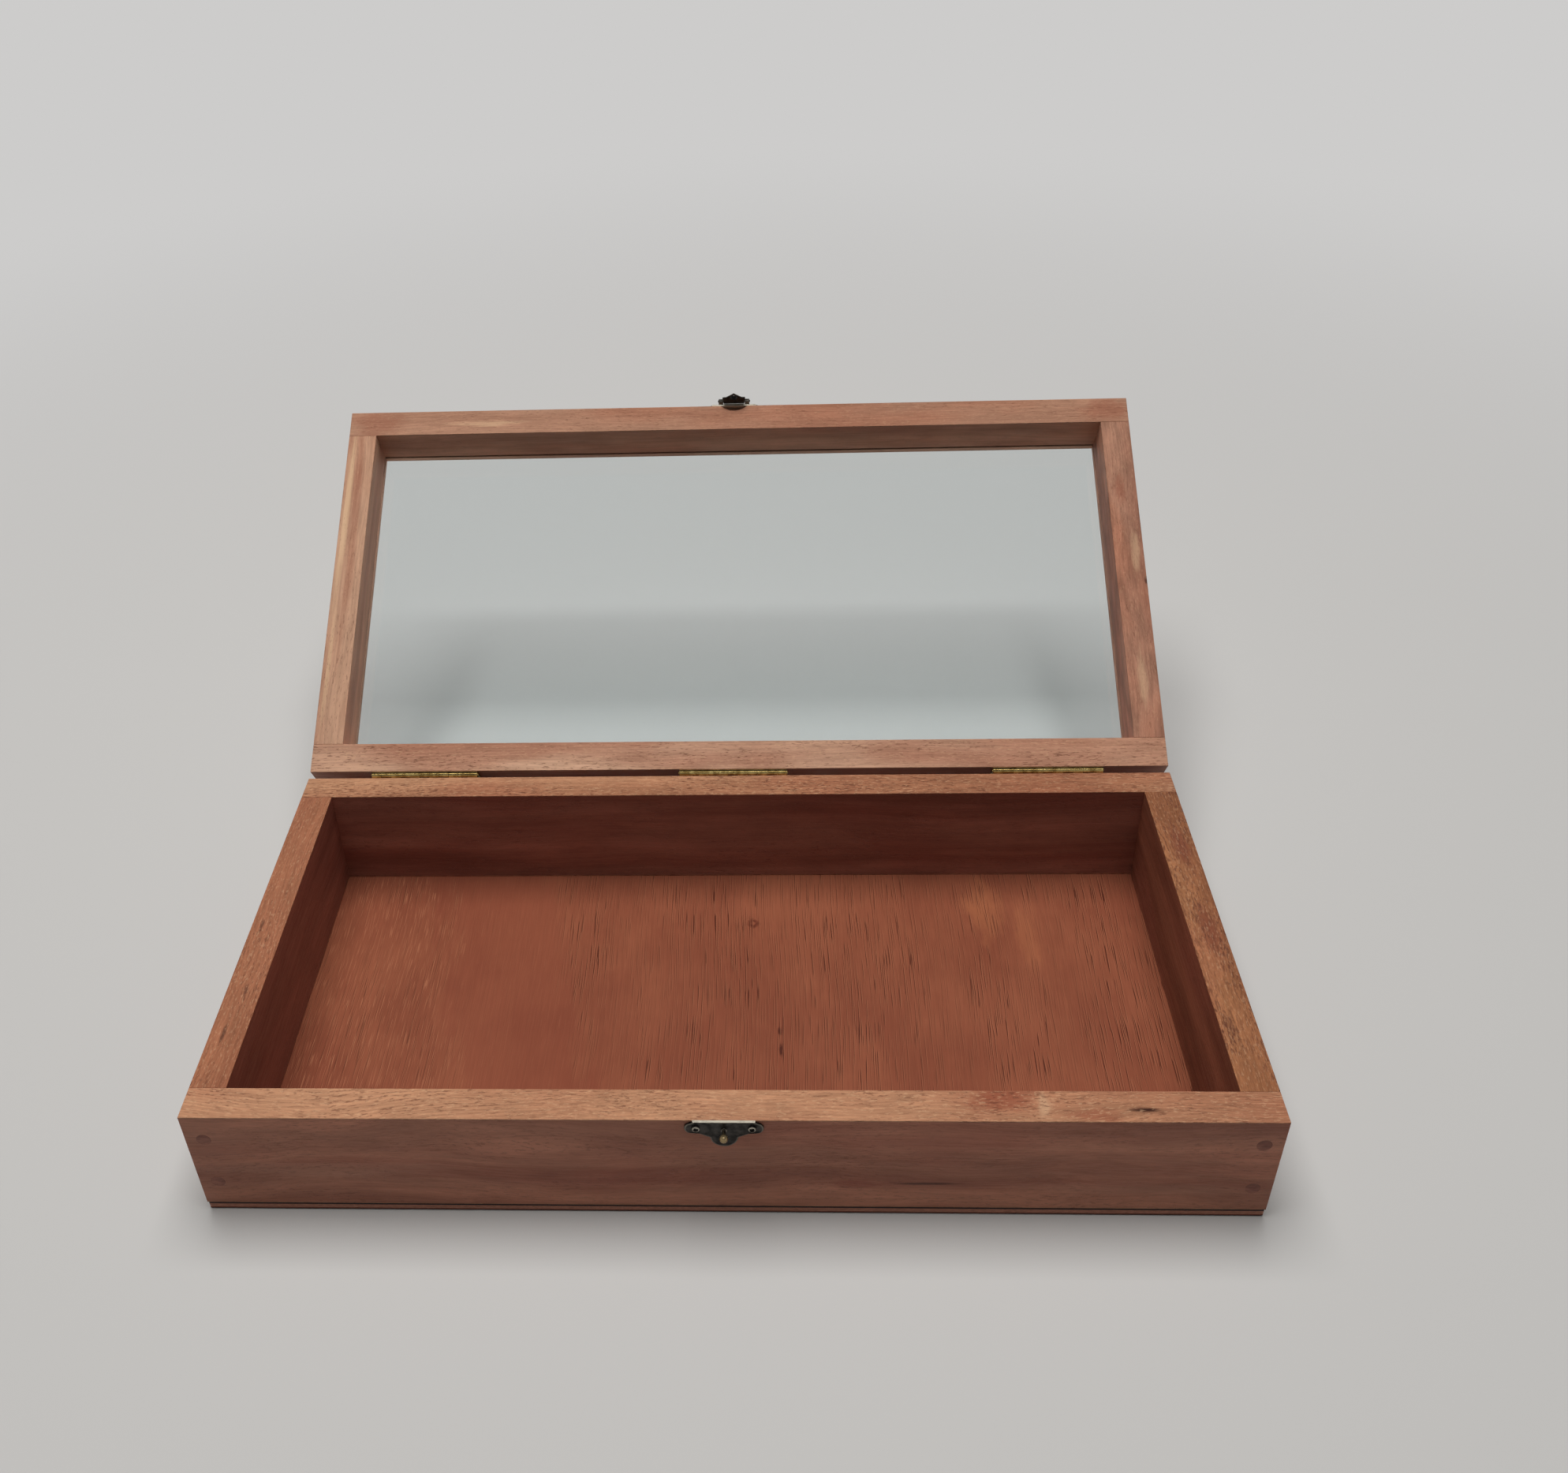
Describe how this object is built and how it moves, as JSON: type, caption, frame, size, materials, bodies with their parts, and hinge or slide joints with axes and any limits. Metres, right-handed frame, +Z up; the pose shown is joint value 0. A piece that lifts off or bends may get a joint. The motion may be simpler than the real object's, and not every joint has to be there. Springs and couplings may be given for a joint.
{
  "type": "shadow box display case",
  "caption": "Low table-top wooden display case with butt-jointed walls, a plywood bottom, a hinged lid with a glass pane, brass hinges behind and a snap latch in front.",
  "frame": {"origin": "middle of the underside of the bottom panel, where the case stands on a table", "axes": "+X to the right along the front board, +Y from the front board to the hinged back, +Z up; the lid is stored open, leaning back"},
  "size_m": [0.508, 0.5045, 0.2109],
  "materials": {
    "case_wood": "reddish-brown stained hardwood, satin",
    "lid_wood": "pinkish-tan stained hardwood, satin",
    "panel_plywood": "stained open-grain plywood",
    "plug_wood": "darker end-grain plug, sanded flush",
    "clear_glass": "clear float glass",
    "hinge_brass": "bright brass, lightly aged",
    "stud_brass": "dull brass, worn bright",
    "aged_bronze": "dark antique bronze with worn edges",
    "fastener_steel": "plain zinc-plated steel"
  },
  "bodies": {
    "case": {"front_board": "case_wood", "back_board": "case_wood", "left_board": "case_wood", "right_board": "case_wood", "bottom_panel": "panel_plywood", "front_plugs": "plug_wood", "back_plugs": "plug_wood", "front_screws": "fastener_steel", "back_screws": "fastener_steel", "bottom_brads": "fastener_steel", "left_hinge_case_leaf": "hinge_brass", "middle_hinge_case_leaf": "hinge_brass", "right_hinge_case_leaf": "hinge_brass", "left_hinge_pin": "hinge_brass", "middle_hinge_pin": "hinge_brass", "right_hinge_pin": "hinge_brass", "case_hinge_screws": "hinge_brass", "catch_plate": "aged_bronze", "catch_stud": "stud_brass", "catch_screws": "aged_bronze"},
    "lid": {"lid_front_rail": "lid_wood", "lid_back_rail": "lid_wood", "lid_left_rail": "lid_wood", "lid_right_rail": "lid_wood", "glass_pane": "clear_glass", "lid_front_plugs": "plug_wood", "lid_back_plugs": "plug_wood", "lid_front_screws": "fastener_steel", "lid_back_screws": "fastener_steel", "left_hinge_lid_leaf": "hinge_brass", "middle_hinge_lid_leaf": "hinge_brass", "right_hinge_lid_leaf": "hinge_brass", "lid_hinge_screws": "hinge_brass", "latch_plate": "aged_bronze", "latch_pin": "aged_bronze", "latch_screws": "aged_bronze"},
    "latch": {"latch_flap": "aged_bronze"}
  },
  "joints": [
    {"name": "lid_hinge", "type": "hinge", "parent": "case", "child": "lid", "pos_m": [0, 0.1304, 0.06775], "axis": [-1, 0, 0], "range_deg": [-149, 31]},
    {"name": "latch_hinge", "type": "hinge", "parent": "lid", "child": "latch", "pos_m": [0, 0.35461, 0.20253], "axis": [-1, 0, 0], "range_deg": [0, 135]}
  ]
}
